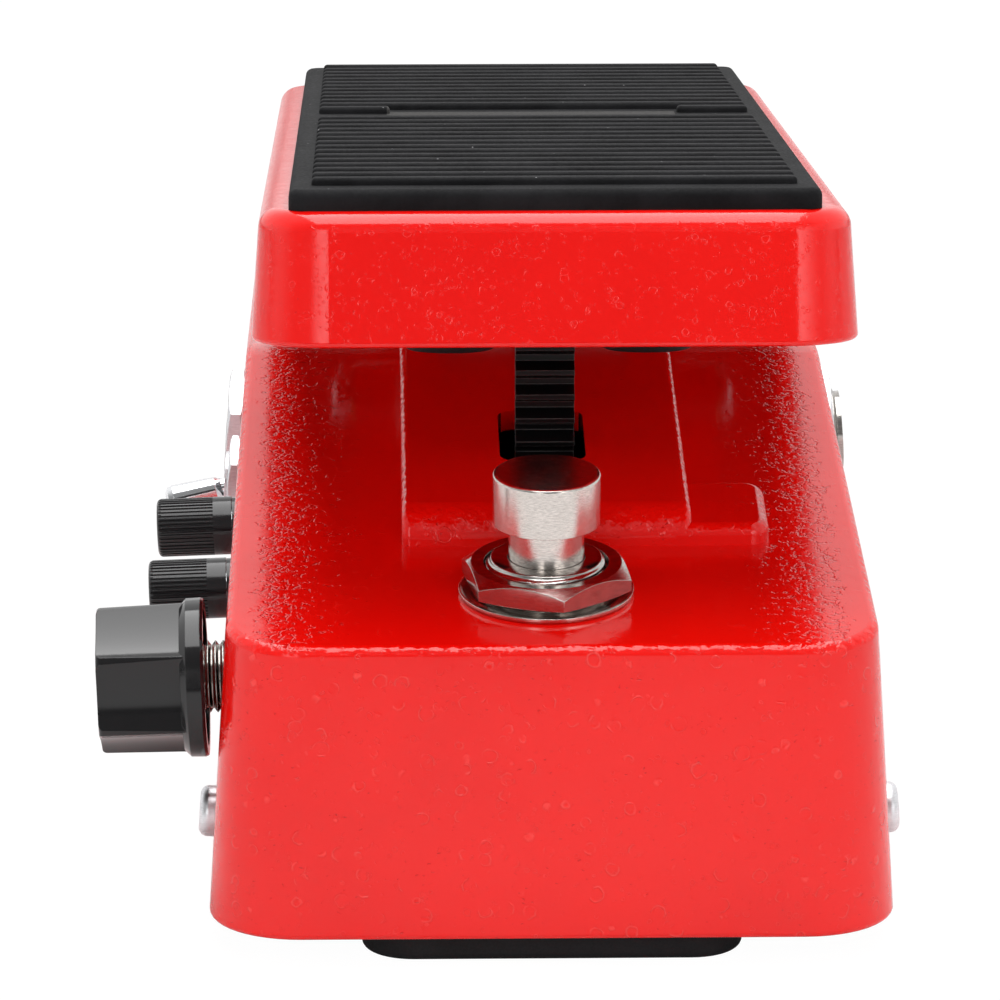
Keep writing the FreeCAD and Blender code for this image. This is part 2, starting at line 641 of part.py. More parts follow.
def sensor_body():
    """Potentiometer turned by the pinion: a can behind the web and a threaded neck through it."""
    face = SENSOR_WEB_X + SENSOR_WEB_THICKNESS + 0.05
    can = cross_rod(8.0, face, face + 8.5)
    can = can.makeFillet(0.6, edges_where(can, lambda p: p.x > face + 8.4))
    neck = threaded_rod(3.5, 0.75, 0, SENSOR_WEB_THICKNESS + 1.7)
    neck.rotate(Vector(0, 0, 0), Y_AXIS, -90)
    legs = [box(face + 2.5, face + 3.1, y - 0.5, y + 0.5, -12.5, -6.0) for y in (-4.0, 0.0, 4.0)]
    body = union([can, moved(neck, face + 0.1)] + legs)
    body = body.cut(cross_rod(2.0 + RUNNING_CLEARANCE, -10, 14.2))
    return moved(body, 0, PINION_Y, PINION_Z)


def sensor_nut():
    nut = hex_nut(9.0, 3.55, 0.0, 1.5)
    nut.rotate(Vector(0, 0, 0), Y_AXIS, -90)
    return moved(nut, SENSOR_WEB_X - 0.02, PINION_Y, PINION_Z)


# ---- footswitch -----------------------------------------------------------------------------
def footswitch_body():
    ceiling = -CASE_WALL
    body = box(-7.0, 7.0, -7.0, 7.0, ceiling - 14.5, ceiling - 2.0)
    body = body.makeFillet(0.8, edges_where(body, lambda p: abs(abs(p.x) - 7) < 0.01
                                            and abs(abs(p.y) - 7) < 0.01))
    legs = [box(x - 0.9, x + 0.9, -0.35, 0.35, ceiling - 18.0, ceiling - 14.0) for x in (-4.0, 4.0)]
    body = union([body] + legs)
    chamber = rod(3.9, ceiling - 12.0, 0)
    return put(body.cut(chamber), FOOTSWITCH)


def footswitch_bushing():
    bushing = threaded_rod(6.0, 1.0, -CASE_WALL - 1.95, 3.6, 3.75)
    lip = ring(5.55, 3.75, 3.6, 3.75)
    return put(union([bushing, lip]), FOOTSWITCH)


def footswitch_button():
    """Press cap on its stem; the stem runs in the bushing and stands on the return spring."""
    cap = rod(5.2, 7.4, 12.42)
    cap = cap.makeFillet(0.3, edges_where(cap, lambda p: p.z > 12.4))
    stem = rod(3.68, -3.0, 7.6)
    return put(cap.fuse(stem).removeSplitter(), FOOTSWITCH)


def footswitch_spring():
    wire_radius = 0.3
    helix = Part.makeHelix(2.04, 10.2, 2.5)
    section = Part.Wire(Part.makeCircle(wire_radius, Vector(2.5, 0, 0), Y_AXIS))
    coil = Part.Wire(helix).makePipeShell([section], True, True)
    return put(moved(coil, z=-13.65), FOOTSWITCH)


def footswitch_washer():
    """Shallow dished washer under the nut."""
    dish = turned([(6.2, 0.02), (8.3, 0.02), (8.5, 0.3), (8.5, 0.55), (8.3, 0.6), (7.4, 0.35),
                   (6.2, 0.35)])
    return put(dish, FOOTSWITCH)


def footswitch_nut():
    return put(hex_nut(15.0, 6.05, 1.0, 3.25, 0.95, 40.0), FOOTSWITCH)


def footswitch_lock_nut():
    return put(hex_nut(14.0, 6.05, -CASE_WALL - 1.9, -CASE_WALL - 0.05), FOOTSWITCH)


# ---- controls on the left side --------------------------------------------------------------
def volume_knob():
    """Knob with six flutes on a round skirt that is hollow underneath."""
    body = turned([(0, 3.45), (7.47, 3.45), (7.22, 12.05), (0, 12.05)])
    body = body.makeFillet(0.45, edges_where(body, lambda p: p.z > 12.0))
    for index in range(6):
        angle = math.radians(60 * index + FLUTE_TURN)
        reach = FLUTE_RADIUS + FLUTE_DEPTH_RADIUS
        centre = Vector(reach * math.cos(angle), reach * math.sin(angle), 3)
        flute = Part.makeCylinder(FLUTE_RADIUS, 12, centre)
        body = body.cut(flute)
    skirt = turned([(0, 1.65), (7.65, 1.65), (7.77, 1.95), (7.72, 3.35), (7.1, 3.95), (0, 4.15)])
    knob = union([body, skirt])
    knob = knob.cut([rod(6.7, 1.0, 3.05), rod(3.02, 0, 10.5), box(-0.25, 0.25, 4.6, 7.2, 11.75, 13)])
    return put(knob, VOLUME)


def volume_shaft():
    return put(rod(3.0, -9.0, 10.4), VOLUME)


def volume_pot():
    body = box(-5.5, 5.5, -4.85, 4.85, -10.5, -3.4)
    neck = threaded_rod(3.5, 0.75, -3.5, 2.8)
    body = union([body, neck] + board_legs(-13.0, -9.0))
    return put(body.cut(rod(3.0 + RUNNING_CLEARANCE, -9.2, 3)), VOLUME)


def board_legs(reach, z):
    """Three solder legs that drop from a side control to the circuit board."""
    return [box(reach, -4.0, y - 0.4, y + 0.4, z, z + 0.5) for y in (-2.5, 0.0, 2.5)]


def small_knob(frame):
    """Straight-knurled cap with a plain collar towards the case."""
    radius = 3.08
    knurls = 42
    outline = []
    for index in range(knurls):
        for offset, reach in ((0.0, radius), (0.3, radius), (0.5, radius - 0.16), (0.8, radius - 0.16)):
            angle = 2 * math.pi * (index + offset) / knurls
            outline.append(Vector(reach * math.cos(angle), reach * math.sin(angle), 2.25))
    grip = Part.Face(Part.makePolygon(outline + outline[:1])).extrude(Vector(0, 0, 6.0))
    cap = rod(radius, 2.25, 8.25)
    cap = cap.makeFillet(0.55, edges_where(cap, lambda p: p.z > 8.2))
    knob = union([grip.common(cap), rod(radius, 0.34, 2.3)])
    return put(knob.cut(rod(1.77, 0, 6.8)), frame)


def small_shaft(frame):
    return put(rod(1.75, -5.0, 6.7), frame)


def small_pot(frame):
    body = box(-4.9, 4.9, -4.75, 4.75, -8.6, -3.0)
    collar = rod(3.0, -3.1, 0.28)
    body = union([body, collar] + board_legs(-13.0, -7.0))
    return put(body.cut(rod(1.75 + RUNNING_CLEARANCE, -5.2, 1)), frame)


def toggle_body():
    housing = box(-4.0, 4.0, -3.4, 3.4, -12.0, -CASE_WALL - 0.1)
    neck = threaded_rod(3.0, 0.5, -CASE_WALL - 0.2, 1.6)
    legs = [box(x - 0.8, x + 0.8, -0.3, 0.3, -15.0, -11.8) for x in (-2.8, 0.0, 2.8)]
    body = union([housing, neck] + legs)
    throat = turned([(0, -5.0), (1.9, -5.0), (1.9, -2.0), (2.3, 2.0), (0, 2.0)])
    return put(body.cut(throat), TOGGLE)


def toggle_nut():
    return put(hex_nut(8.0, 3.05, 0.05, 1.25), TOGGLE)


def toggle_lever():
    """Bat lever that swings about a pinned ball in the neck; drawn in its lower position."""
    bat = turned([(0, -3.6), (0.9, -3.6), (0.95, 2.0), (1.25, 2.7), (1.45, 7.3), (1.3, 7.9),
                  (0.8, 8.2), (0, 8.25)])
    ball = Part.makeSphere(1.45, Vector(0, 0, -2.0))
    pin = Part.makeCylinder(0.4, 3.6, Vector(0, -1.8, -2.0), Y_AXIS)
    lever = union([bat, ball, pin])
    lever.rotate(Vector(0, 0, -2.0), Y_AXIS, -TOGGLE_LEVER_ANGLE)
    return put(lever, TOGGLE)


# ---- sockets --------------------------------------------------------------------------------
def signal_jack(frame, proud):
    """Quarter-inch socket: a threaded sleeve through the wall and a moulded body behind it."""
    sleeve = threaded_rod(4.75, 0.75, -CASE_WALL - 0.9, proud, 3.2)
    body = box(-6.5, 6.5, -6.5, 6.5, -22.0, -CASE_WALL - 0.8)
    body = body.makeFillet(1.0, edges_where(body, lambda p: abs(abs(p.x) - 6.5) < 0.01
                                            and abs(abs(p.y) - 6.5) < 0.01))
    body = body.cut(rod(3.2, -21.0, 0))
    return put(union([sleeve, body]), frame)


def jack_lugs():
    """Solder lugs on the back of both sockets."""
    lugs = []
    for frame in (OUTPUT_JACK, INPUT_JACK):
        lugs += [put(box(-1.0, 1.0, y - 0.25, y + 0.25, -25.0, -22.02), frame) for y in (-4.0, 0.0, 4.0)]
    return Part.makeCompound(lugs)


def jack_nuts():
    left = put(hex_nut(13.0, 4.8, 0.1, 1.85, 0.4), OUTPUT_JACK)
    right = put(hex_nut(13.0, 4.8, 0.6, 2.6, 0.4), INPUT_JACK)
    return Part.makeCompound([left, right])


def jack_washer():
    return put(ring(6.8, 4.85, 0.05, 0.55), INPUT_JACK)


def power_jack():
    body = box(-4.5, 4.5, -5.5, 5.5, -14.5, -CASE_WALL - 0.6)
    barrel = rod(4.4, -CASE_WALL - 0.7, 0.0)
    socket = union([body, barrel]).cut(ring(3.0, 1.05, -9.0, 1))
    return put(socket.cut(rod(1.03, -11.0, 1)), POWER_JACK)


def power_pin():
    pin = rod(1.0, -10.9, -1.0)
    return put(pin.makeFillet(0.4, edges_where(pin, lambda p: p.z > -1.1)), POWER_JACK)


# ---- electronics ----------------------------------------------------------------------------
def circuit_board():
    board = rounded_slab(BOARD_HALF_WIDTH, BOARD_TOE, BOARD_HEEL, 2.0, BOARD_BOTTOM, BOARD_TOP - 0.05)
    return board.cut([moved(rod(1.5, 0, 20), x, y) for x, y in BOARD_POSTS])


def board_screws():
    screw = pan_screw(2.4, 1.4, 1.2, 6.5)
    screw.rotate(Vector(0, 0, 0), X_AXIS, 180)
    return Part.makeCompound([moved(screw, x, y, BOARD_BOTTOM - 0.02) for x, y in BOARD_POSTS])


def on_board(shape, x, y):
    return moved(shape, x, y, BOARD_TOP)


def filter_inductor():
    can = rod(6.0, 0, 8.5)
    return on_board(can.makeFillet(0.8, edges_where(can, lambda p: p.z > 8.4)), 12.0, 10.0)


def capacitors():
    parts = []
    for x, y in ((-8.0, -8.0), (0.0, -8.0), (8.0, 52.0), (0.0, 52.0), (-8.0, 52.0)):
        can = rod(2.5, 0, 7.0)
        parts.append(on_board(can.makeFillet(0.4, edges_where(can, lambda p: p.z > 6.9)), x, y))
    return Part.makeCompound(parts)


def amplifier_chips():
    parts = []
    for x, y in ((-10.0, 6.0), (0.0, 6.0)):
        parts.append(on_board(box(-2.0, 2.0, -2.5, 2.5, 0.1, 1.6), x, y))
    return Part.makeCompound(parts)


def power_leads():
    """Twin lead from the power socket down to the board."""
    return Part.makeCompound([moved(rod(0.6, BOARD_TOP + 0.05, 14.45), x, 70.0) for x in (-3.0, 3.0)])


PARTS = {
    "case": case,
    "base_plate": base_plate,
    "base_mat": base_mat,
    "side_screws": side_screws,
    "treadle": treadle,
    "tread_rubber": tread_rubber,
    "toe_bumpers": lambda: bumpers(-BUMPER_Y, TOE_BUMPER_DROP),
    "heel_bumpers": lambda: bumpers(BUMPER_Y, HEEL_BUMPER_DROP),
    "hinge_pin": hinge_pin,
    "hinge_bushings": hinge_bushings,
    "retaining_rings": retaining_rings,
    "friction_washers": friction_washers,
    "toothed_sector": sector,
    "sector_screws": sector_screws,
    "pinion": pinion,
    "sensor_shaft": sensor_shaft,
    "sensor_body": sensor_body,
    "sensor_nut": sensor_nut,
    "footswitch_body": footswitch_body,
    "footswitch_bushing": footswitch_bushing,
    "footswitch_button": footswitch_button,
    "footswitch_spring": footswitch_spring,
    "footswitch_washer": footswitch_washer,
    "footswitch_nut": footswitch_nut,
    "footswitch_lock_nut": footswitch_lock_nut,
    "volume_knob": volume_knob,
    "volume_shaft": volume_shaft,
    "volume_pot": volume_pot,
    "tone_knob": lambda: small_knob(TONE),
    "tone_shaft": lambda: small_shaft(TONE),
    "tone_pot": lambda: small_pot(TONE),
    "level_knob": lambda: small_knob(LEVEL),
    "level_shaft": lambda: small_shaft(LEVEL),
    "level_pot": lambda: small_pot(LEVEL),
    "toggle_body": toggle_body,
    "toggle_nut": toggle_nut,
    "toggle_lever": toggle_lever,
    "output_jack": lambda: signal_jack(OUTPUT_JACK, 1.9),
    "input_jack": lambda: signal_jack(INPUT_JACK, 3.6),
    "jack_nuts": jack_nuts,
    "jack_washer": jack_washer,
    "jack_lugs": jack_lugs,
    "power_jack": power_jack,
    "power_pin": power_pin,
    "circuit_board": circuit_board,
    "board_screws": board_screws,
    "filter_inductor": filter_inductor,
    "capacitors": capacitors,
    "amplifier_chips": amplifier_chips,
    "power_leads": power_leads,
}


def main():
    os.makedirs("parts", exist_ok=True)
    for name, build in PARTS.items():
        shape = build()
        print(name, "solids", len(shape.Solids), "valid", shape.isValid(), "volume %.1f" % shape.Volume)
        shape.exportStep(os.path.join("parts", name + ".step"))


main()
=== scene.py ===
import math

import bmesh
import bpy
from mathutils import Matrix, Vector


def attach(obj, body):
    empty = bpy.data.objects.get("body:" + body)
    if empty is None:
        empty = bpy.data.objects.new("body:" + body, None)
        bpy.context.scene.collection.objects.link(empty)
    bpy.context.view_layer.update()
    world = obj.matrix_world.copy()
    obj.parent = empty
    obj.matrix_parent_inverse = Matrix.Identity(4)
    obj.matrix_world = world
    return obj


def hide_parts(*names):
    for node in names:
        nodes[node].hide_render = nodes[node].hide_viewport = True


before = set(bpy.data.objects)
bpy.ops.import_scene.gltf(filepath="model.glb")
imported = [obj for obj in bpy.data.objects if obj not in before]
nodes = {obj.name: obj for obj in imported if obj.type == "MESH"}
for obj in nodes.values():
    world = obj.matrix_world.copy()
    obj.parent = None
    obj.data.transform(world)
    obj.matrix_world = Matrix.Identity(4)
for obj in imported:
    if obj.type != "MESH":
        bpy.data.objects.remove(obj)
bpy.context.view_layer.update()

# Looks for the mini rocker pedal: the CAD nodes keep their shapes and get procedural materials,
# and the soft or threaded pieces that need more shape than the CAD gives are built here.
# Blender works in metres. Names that end in _MM, and every texture, work in millimetres.

MM = 0.001

# ---- dimensions shared with the CAD, and those of the pieces built here -----------------------
ROOF_SLOPE = 6.29
FOOTSWITCH_MM = Vector((-0.4, -71.6, 33.108))
HINGE_MM = Vector((0.3, 0.0, 48.0))
TREADLE_TILT = -6.28
MAT_BASE_MM = 15.53
MAT_TOP_MM = 17.53
MAT_HALF_WIDTH_MM = 25.25
MAT_TOE_MM = -80.1
MAT_HEEL_MM = 72.8
MAT_CORNER_MM = 1.8
MAT_EDGE_MM = 0.8
RIB_PITCH_MM = 4.96
RIB_WIDTH_MM = 2.4
RIB_HEIGHT_MM = 0.7
RIB_HALF_LENGTH_MM = 23.1
TOE_RIB_START_MM = -75.6
SHORT_RIB_START_MM = 6.3
RIB_STARTS_MM = [TOE_RIB_START_MM + RIB_PITCH_MM * index for index in range(15)]
RIB_STARTS_MM += [SHORT_RIB_START_MM + RIB_PITCH_MM * index for index in range(1, 13)]
RIB_CORNER_MM = 0.5
RIB_EDGE_MM = 0.42
RIB_ROOT_MM = 0.3
BLANK_HALF_WIDTH_MM = 15.5
BLANK_MIDDLE_MM = 4.6
BLANK_HALF_LENGTH_MM = 5.6
SLOT_HALF_WIDTH_MM = 4.4
SLOT_MIDDLE_MM = -37.7
SLOT_HALF_LENGTH_MM = 7.5
BUSHING_RADIUS_MM = 6.0
BUSHING_BORE_MM = 3.75
BUSHING_PITCH_MM = 1.0
BUSHING_FOOT_MM = -3.95
BUSHING_HEAD_MM = 3.6
BUSHING_GROOVE_MM = 0.55
BUSHING_LEAD_MM = 0.45
BUSHING_RIM_MM = BUSHING_HEAD_MM + 0.15
BUSHING_LIP_MM = ((5.4, BUSHING_HEAD_MM + 0.1), (5.25, BUSHING_RIM_MM))

# ---- colours ----------------------------------------------------------------------------------
RED_DEEP = (0.76, 0.0025, 0.0010)
RED_BRIGHT = (0.82, 0.0045, 0.0020)
RED_GRAIN = (0.58, 0.002, 0.001)
RED_RIM_HIGHLIGHT = (0.95, 0.070, 0.060)
RED_HOLLOW_SHADE = (0.40, 0.001, 0.001)
SLOT_SHADOW = (0.004, 0.003, 0.003)
RUBBER_DARK = (0.005, 0.005, 0.0055)
RUBBER_PALE = (0.012, 0.012, 0.013)
RUBBER_BLANK = (0.046, 0.044, 0.043)
LINT = (0.45, 0.45, 0.46)
BUMPER_DARK = (0.007, 0.007, 0.0075)
BUMPER_PALE = (0.016, 0.016, 0.017)
STEEL_COAT_DARK = (0.002, 0.002, 0.0022)
STEEL_COAT_PALE = (0.006, 0.006, 0.0065)
STEEL_SCRATCH = (0.05, 0.05, 0.052)
STEEL_EDGE_WEAR_AND_GLINT = (0.30, 0.29, 0.29)
BOARD_DARK = (0.004, 0.05, 0.016)
BOARD_PALE = (0.008, 0.09, 0.03)
NICKEL_DARK = (0.34, 0.32, 0.30)
NICKEL_PALE = (0.60, 0.57, 0.54)
WHITE = (1.0, 1.0, 1.0, 1.0)

# ---- camera and light -------------------------------------------------------------------------
BACKDROP = 1.05
ROOM_IN_FRONT = 0.26
DIFFUSE_CUT = 0.85
TABLE_ALBEDO = 0.75
TABLE_FAR_ALBEDO = 0.1
TABLE_FADE = (-0.46, -0.24)
TABLE_GLOW_SHARE = 0.93
CAMERA_PLACE = Vector((-0.01632, -0.65955, 0.19489))
CAMERA_TURN = (75.46, 0.0, -1.116)
CAMERA_LENS = 226.8
CAMERA_SENSOR = 36.0


class Finish:
    """A procedural material in the making. Texture coordinates are millimetres in the row frame."""

    def __init__(self, name, **inputs):
        self.material = bpy.data.materials.new(name)
        self.material.use_nodes = True
        self.tree = self.material.node_tree
        self.surface = self.tree.nodes["Principled BSDF"]
        coordinates = self.tree.nodes.new("ShaderNodeTexCoord")
        self.place = self.vector("SCALE", coordinates.outputs["Object"], scale=1.0 / MM)
        self.set(**inputs)

    def feed(self, socket, value):
        if isinstance(value, bpy.types.NodeSocket):
            self.tree.links.new(value, socket)
        elif isinstance(value, tuple) and len(value) == 3 and socket.type == "RGBA":
            socket.default_value = (*value, 1.0)
        else:
            socket.default_value = value

    def set(self, **inputs):
        """Feeds inputs of the surface shader; spaces in their names are written as underscores."""
        for name, value in inputs.items():
            self.feed(self.surface.inputs[name.replace("_", " ")], value)

    def calc(self, operation, first, second=0.0, third=0.0):
        node = self.tree.nodes.new("ShaderNodeMath")
        node.operation = operation
        for socket, value in zip(node.inputs, (first, second, third)):
            self.feed(socket, value)
        return node.outputs[0]

    def vector(self, operation, first, second=(0.0, 0.0, 0.0), scale=1.0):
        node = self.tree.nodes.new("ShaderNodeVectorMath")
        node.operation = operation
        self.feed(node.inputs[0], first)
        self.feed(node.inputs[1], second)
        node.inputs[3].default_value = scale
        return node.outputs["Value"] if operation in ("DOT_PRODUCT", "LENGTH") else node.outputs["Vector"]

    def part(self, vector, axis):
        node = self.tree.nodes.new("ShaderNodeSeparateXYZ")
        self.feed(node.inputs[0], vector)
        return node.outputs[axis]

    def normal(self):
        return self.tree.nodes.new("ShaderNodeNewGeometry").outputs["Normal"]

    def ramp(self, value, low, high, start=0.0, end=1.0, smooth=True):
        node = self.tree.nodes.new("ShaderNodeMapRange")
        node.interpolation_type = "SMOOTHSTEP" if smooth else "LINEAR"
        for socket, number in zip(node.inputs, (value, low, high, start, end)):
            self.feed(socket, number)
        return node.outputs[0]

    def noise(self, scale, detail=2.0, roughness=0.5, place=None):
        node = self.tree.nodes.new("ShaderNodeTexNoise")
        self.feed(node.inputs["Vector"], place or self.place)
        node.inputs["Scale"].default_value = scale
        node.inputs["Detail"].default_value = detail
        node.inputs["Roughness"].default_value = roughness
        return node.outputs["Fac"]

    def cells(self, scale, feature="F1", output="Distance", place=None, randomness=1.0):
        node = self.tree.nodes.new("ShaderNodeTexVoronoi")
        node.feature = feature
        self.feed(node.inputs["Vector"], place or self.place)
        node.inputs["Scale"].default_value = scale
        node.inputs["Randomness"].default_value = randomness
        return node.outputs[output]

    def warped(self, scale, reach):
        """Texture place pushed about by a slow noise, so that cells lose their straight sides."""
        node = self.tree.nodes.new("ShaderNodeTexNoise")
        self.feed(node.inputs["Vector"], self.place)
        node.inputs["Scale"].default_value = scale
        centred = self.vector("SUBTRACT", node.outputs["Color"], (0.5, 0.5, 0.5))
        return self.vector("ADD", self.place, self.vector("SCALE", centred, scale=2.0 * reach))

    def stretched(self, x, y, z):
        return self.vector("MULTIPLY", self.place, (x, y, z))

    def mix(self, factor, first, second):
        node = self.tree.nodes.new("ShaderNodeMix")
        node.data_type = "RGBA"
        self.feed(node.inputs["Factor"], factor)
        self.feed(node.inputs[6], first)
        self.feed(node.inputs[7], second)
        return node.outputs[2]

    def bump(self, height, depth_mm, below=None):
        """Normal for a height between 0 and 1 that stands for depth_mm; below is the normal under it."""
        node = self.tree.nodes.new("ShaderNodeBump")
        node.inputs["Distance"].default_value = depth_mm * MM
        node.inputs["Strength"].default_value = 1.0
        self.feed(node.inputs["Height"], height)
        if below is not None:
            self.feed(node.inputs["Normal"], below)
        return node.outputs["Normal"]

    def soft_edge(self, radius_mm):
        """Normal that rounds sharp edges over radius_mm."""
        node = self.tree.nodes.new("ShaderNodeBevel")
        node.samples = 4
        node.inputs["Radius"].default_value = radius_mm * MM
        return node.outputs["Normal"]


# ---- paint ------------------------------------------------------------------------------------
def powder_red(name, pit_depth, shade_and_highlight_share, ring_scale, skin_mask, ripple_mask=None, slot_shade_mask=None):
    """Thick glossy red coat on a casting: slow waves, ring-shaped pits, nicks and leathery skin.

    The share argument sets how strongly the painted highlight on the pit rings and the painted shade in the
    nicks change the colour; ring_scale is in cells a millimetre.
    """
    finish = Finish(name)
    drift = finish.noise(0.035, 3.0)
    fine = finish.noise(1.6, 3.0)
    colour = finish.mix(finish.ramp(drift, 0.35, 0.65), RED_DEEP, RED_BRIGHT)
    colour = finish.mix(finish.ramp(fine, 0.62, 0.85, 0.0, 0.35), colour, RED_GRAIN)
    height = finish.bump(finish.noise(0.42, 1.0), depth_mm=0.02)
    if ripple_mask is not None:
        ripple = finish.calc("MULTIPLY", finish.noise(0.9, 2.0), ripple_mask(finish))
        height = finish.bump(ripple, depth_mm=0.30, below=height)
    calm = finish.calc("SUBTRACT", 1.0, finish.calc("MULTIPLY", facing_up(finish), 0.85))
    small_rings = finish.calc("MULTIPLY", ring_pits(finish, 2.4 * ring_scale), 0.5)
    rings = finish.calc("MAXIMUM", ring_pits(finish, ring_scale), small_rings)
    rings = finish.calc("MULTIPLY", rings, calm)
    # Painted highlight: the pit rings are mixed towards a pale pink red, standing in for light caught on
    # their rims.
    colour = finish.mix(finish.calc("MULTIPLY", rings, shade_and_highlight_share), colour, RED_RIM_HIGHLIGHT)
    height = finish.bump(rings, depth_mm=pit_depth, below=height)
    nicks = finish.calc("MULTIPLY", short_nicks(finish), calm)
    # Painted shade: the nicks are mixed towards a dark red, standing in for shade in their hollows.
    colour = finish.mix(finish.calc("MULTIPLY", nicks, shade_and_highlight_share), colour, RED_HOLLOW_SHADE)
    height = finish.bump(nicks, depth_mm=-pit_depth, below=height)
    skin = leathery_skin(finish, skin_mask)
    # Painted shade: the creases of the leathery skin are mixed towards the same dark red.
    colour = finish.mix(finish.calc("MULTIPLY", skin, 0.55), colour, RED_HOLLOW_SHADE)
    height = finish.bump(skin, depth_mm=-0.026, below=height)
    # Painted shade: the walls inside the slot are mixed to near black.
    if slot_shade_mask is not None:
        colour = finish.mix(slot_shade_mask(finish), colour, SLOT_SHADOW)
    grain = finish.bump(finish.noise(6.0, 2.0), depth_mm=0.0016, below=height)
    finish.set(Base_Color=colour, Roughness=finish.ramp(fine, 0.3, 0.7, 0.10, 0.17), Normal=grain,
               Specular_IOR_Level=0.5)
    return finish.material


def short_nicks(finish):
    """Sparse short strokes, in patches."""
    strokes = finish.vector("MULTIPLY", finish.warped(1.1, 0.5), (1.0, 0.5, 2.2))
    nicks = finish.ramp(finish.cells(0.8, place=strokes), 0.03, 0.15, 1.0, 0.0)
    patches = finish.ramp(finish.noise(0.16, 2.0), 0.4, 0.6)
    return finish.calc("MULTIPLY", nicks, patches)


def leathery_skin(finish, mask):
    """Short creases that grow denser where the mask is high, as 0 to 1."""
    creases = finish.cells(0.95, feature="DISTANCE_TO_EDGE", place=finish.warped(0.9, 0.8))
    creases = finish.ramp(creases, 0.03, 0.14, 1.0, 0.0)
    chance = finish.calc("SUBTRACT", finish.noise(1.1, 2.0), finish.calc("MULTIPLY", mask(finish), 0.32))
    return finish.calc("MULTIPLY", creases, finish.ramp(chance, 0.18, 0.28, 1.0, 0.0))


def ring_pits(finish, scale):
    """Broken rings, as left by bubbles in the coat; scale is the number of cells in a millimetre."""
    warped = finish.warped(0.9, 0.28)
    distance = finish.cells(scale, place=warped)
    shade = finish.part(finish.cells(scale, output="Color", place=warped), 0)
    ring = finish.calc("ABSOLUTE", finish.calc("SUBTRACT", distance, finish.ramp(shade, 0, 1, 0.10, 0.36)))
    ring = finish.ramp(ring, 0.0, 0.075, 1.0, 0.0)
    broken = finish.ramp(finish.noise(0.8, 1.0), 0.42, 0.6)
    return finish.calc("MULTIPLY", ring, finish.calc("MULTIPLY", finish.ramp(shade, 0.4, 0.45), broken))


def facing_up(finish):
    """1 on level faces, fading to 0 on faces that lean more than 60 degrees."""
    return finish.ramp(finish.part(finish.normal(), 2), 0.5, 0.9)


def case_skin_mask(finish):
    """Leathery skin on the roof beside the treadle; it ends a little before the edge."""
    out = finish.calc("ABSOLUTE", finish.part(finish.place, 0))
    band = finish.calc("MULTIPLY", finish.ramp(out, 16.0, 28.0, smooth=False),
                       finish.ramp(out, 27.0, 30.0, 1.0, 0.1))
    return finish.calc("MULTIPLY", band, facing_up(finish))


def roof_edge_mask(finish):
    """Ripples where the roof turns down into the walls."""
    slant = finish.part(finish.normal(), 2)
    band = finish.calc("MULTIPLY", finish.ramp(slant, 0.1, 0.5), finish.ramp(slant, 0.97, 0.85))
    return finish.calc("MULTIPLY", band, finish.ramp(finish.part(finish.place, 2), 28.0, 30.0))


def treadle_skin_mask(finish):
    """A few faint patches of leathery skin."""
    return finish.ramp(finish.noise(0.15, 2.0), 0.6, 0.8, 0.0, 0.3)


def box_mask(finish, half_width, middle, half_length):
    """1 within half_width of the middle plane and half_length of the given place along the object."""
    aside = finish.calc("ABSOLUTE", finish.part(finish.place, 0))
    along = finish.calc("ABSOLUTE", finish.calc("SUBTRACT", finish.part(finish.place, 1), middle))
    return finish.calc("MULTIPLY", finish.calc("LESS_THAN", aside, half_width),
                       finish.calc("LESS_THAN", along, half_length))


def slot_mask(finish):
    """Walls of the slot for the toothed arc that are painted near black as shade: all but the heel end."""
    inside = box_mask(finish, SLOT_HALF_WIDTH_MM, SLOT_MIDDLE_MM, SLOT_HALF_LENGTH_MM)
    upright = finish.calc("LESS_THAN", finish.part(finish.normal(), 2), 0.6)
    shaded = finish.calc("GREATER_THAN", finish.part(finish.normal(), 1), -0.6)
    return finish.calc("MULTIPLY", inside, finish.calc("MULTIPLY", upright, shaded))


# ---- rubber and plastics ----------------------------------------------------------------------
def dusty_rubber():
    """Black moulded rubber with a fine matt grain and a little pale lint."""
    finish = Finish("dusty_rubber")
    blotches = finish.noise(0.12, 4.0, 0.6)
    grain = finish.noise(3.2, 4.0, 0.65)
    colour = finish.mix(finish.ramp(blotches, 0.3, 0.7), RUBBER_DARK, RUBBER_PALE)
    speck = finish.cells(0.55)
    lint = finish.ramp(speck, 0.03, 0.075, 1.0, 0.0)
    some = finish.ramp(finish.part(finish.cells(0.55, output="Color"), 1), 0.62, 0.68)
    lint = finish.calc("MULTIPLY", finish.calc("MULTIPLY", lint, some), 0.75)
    colour = finish.mix(lint, colour, LINT)
    blank = box_mask(finish, BLANK_HALF_WIDTH_MM, BLANK_MIDDLE_MM, BLANK_HALF_LENGTH_MM)
    colour = finish.mix(blank, colour, RUBBER_BLANK)
    rough = finish.ramp(grain, 0.25, 0.75, 0.62, 0.82)
    waves = finish.bump(finish.noise(0.5, 2.0), depth_mm=0.05)
    surface = finish.bump(grain, depth_mm=0.02, below=waves)
    finish.set(Base_Color=colour, Roughness=rough, Specular_IOR_Level=0.10, Normal=surface)
    return finish.material


def plain_rubber():
    """Darker rubber for the bumpers and the pad under the case."""
    finish = Finish("plain_rubber")
    grain = finish.noise(4.0, 3.0, 0.6)
    blotches = finish.noise(0.2, 3.0)
    colour = finish.mix(blotches, BUMPER_DARK, BUMPER_PALE)
    finish.set(Base_Color=colour, Roughness=finish.ramp(grain, 0.2, 0.8, 0.55, 0.8),
               Specular_IOR_Level=0.2, Normal=finish.bump(grain, depth_mm=0.015))
    return finish.material


